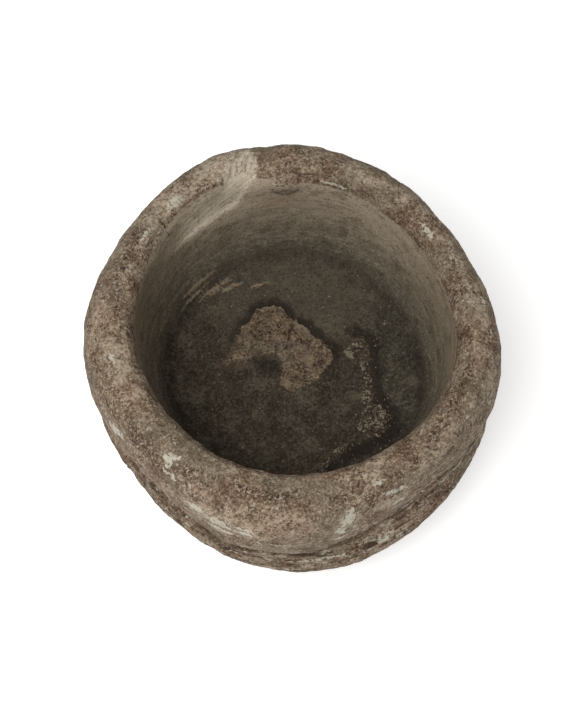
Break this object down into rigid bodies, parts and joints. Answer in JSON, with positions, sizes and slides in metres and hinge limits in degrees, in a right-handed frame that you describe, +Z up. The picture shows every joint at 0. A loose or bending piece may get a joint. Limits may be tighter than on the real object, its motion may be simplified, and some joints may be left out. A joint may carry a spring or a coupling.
{
  "type": "molcajete",
  "caption": "Carved basalt grinding bowl with a thick rolled collar, a pouring channel worn through the rim, stub feet and hardened residue on its floor.",
  "frame": {"origin": "middle of the footprint, on the ground under the feet", "axes": "+Z up through the opening, +Y the side that the pouring channel runs out over, +X to the right seen from -Y"},
  "size_m": [0.3, 0.3036, 0.1593],
  "materials": {
    "basalt": "matte hewn vesicular basalt, mottled brown and grey, pitted, with pale lime patches",
    "residue": "matte dried residue, pale pinkish brown, crumbly",
    "crust": "matte grainy crust, dark brown with pale grains"
  },
  "bodies": {
    "root": {"stone_bowl": "basalt", "residue_cake": "residue", "crust_wedge": "crust", "crust_string": "crust", "crust_clod": "crust", "crust_trail": "crust"}
  },
  "joints": []
}
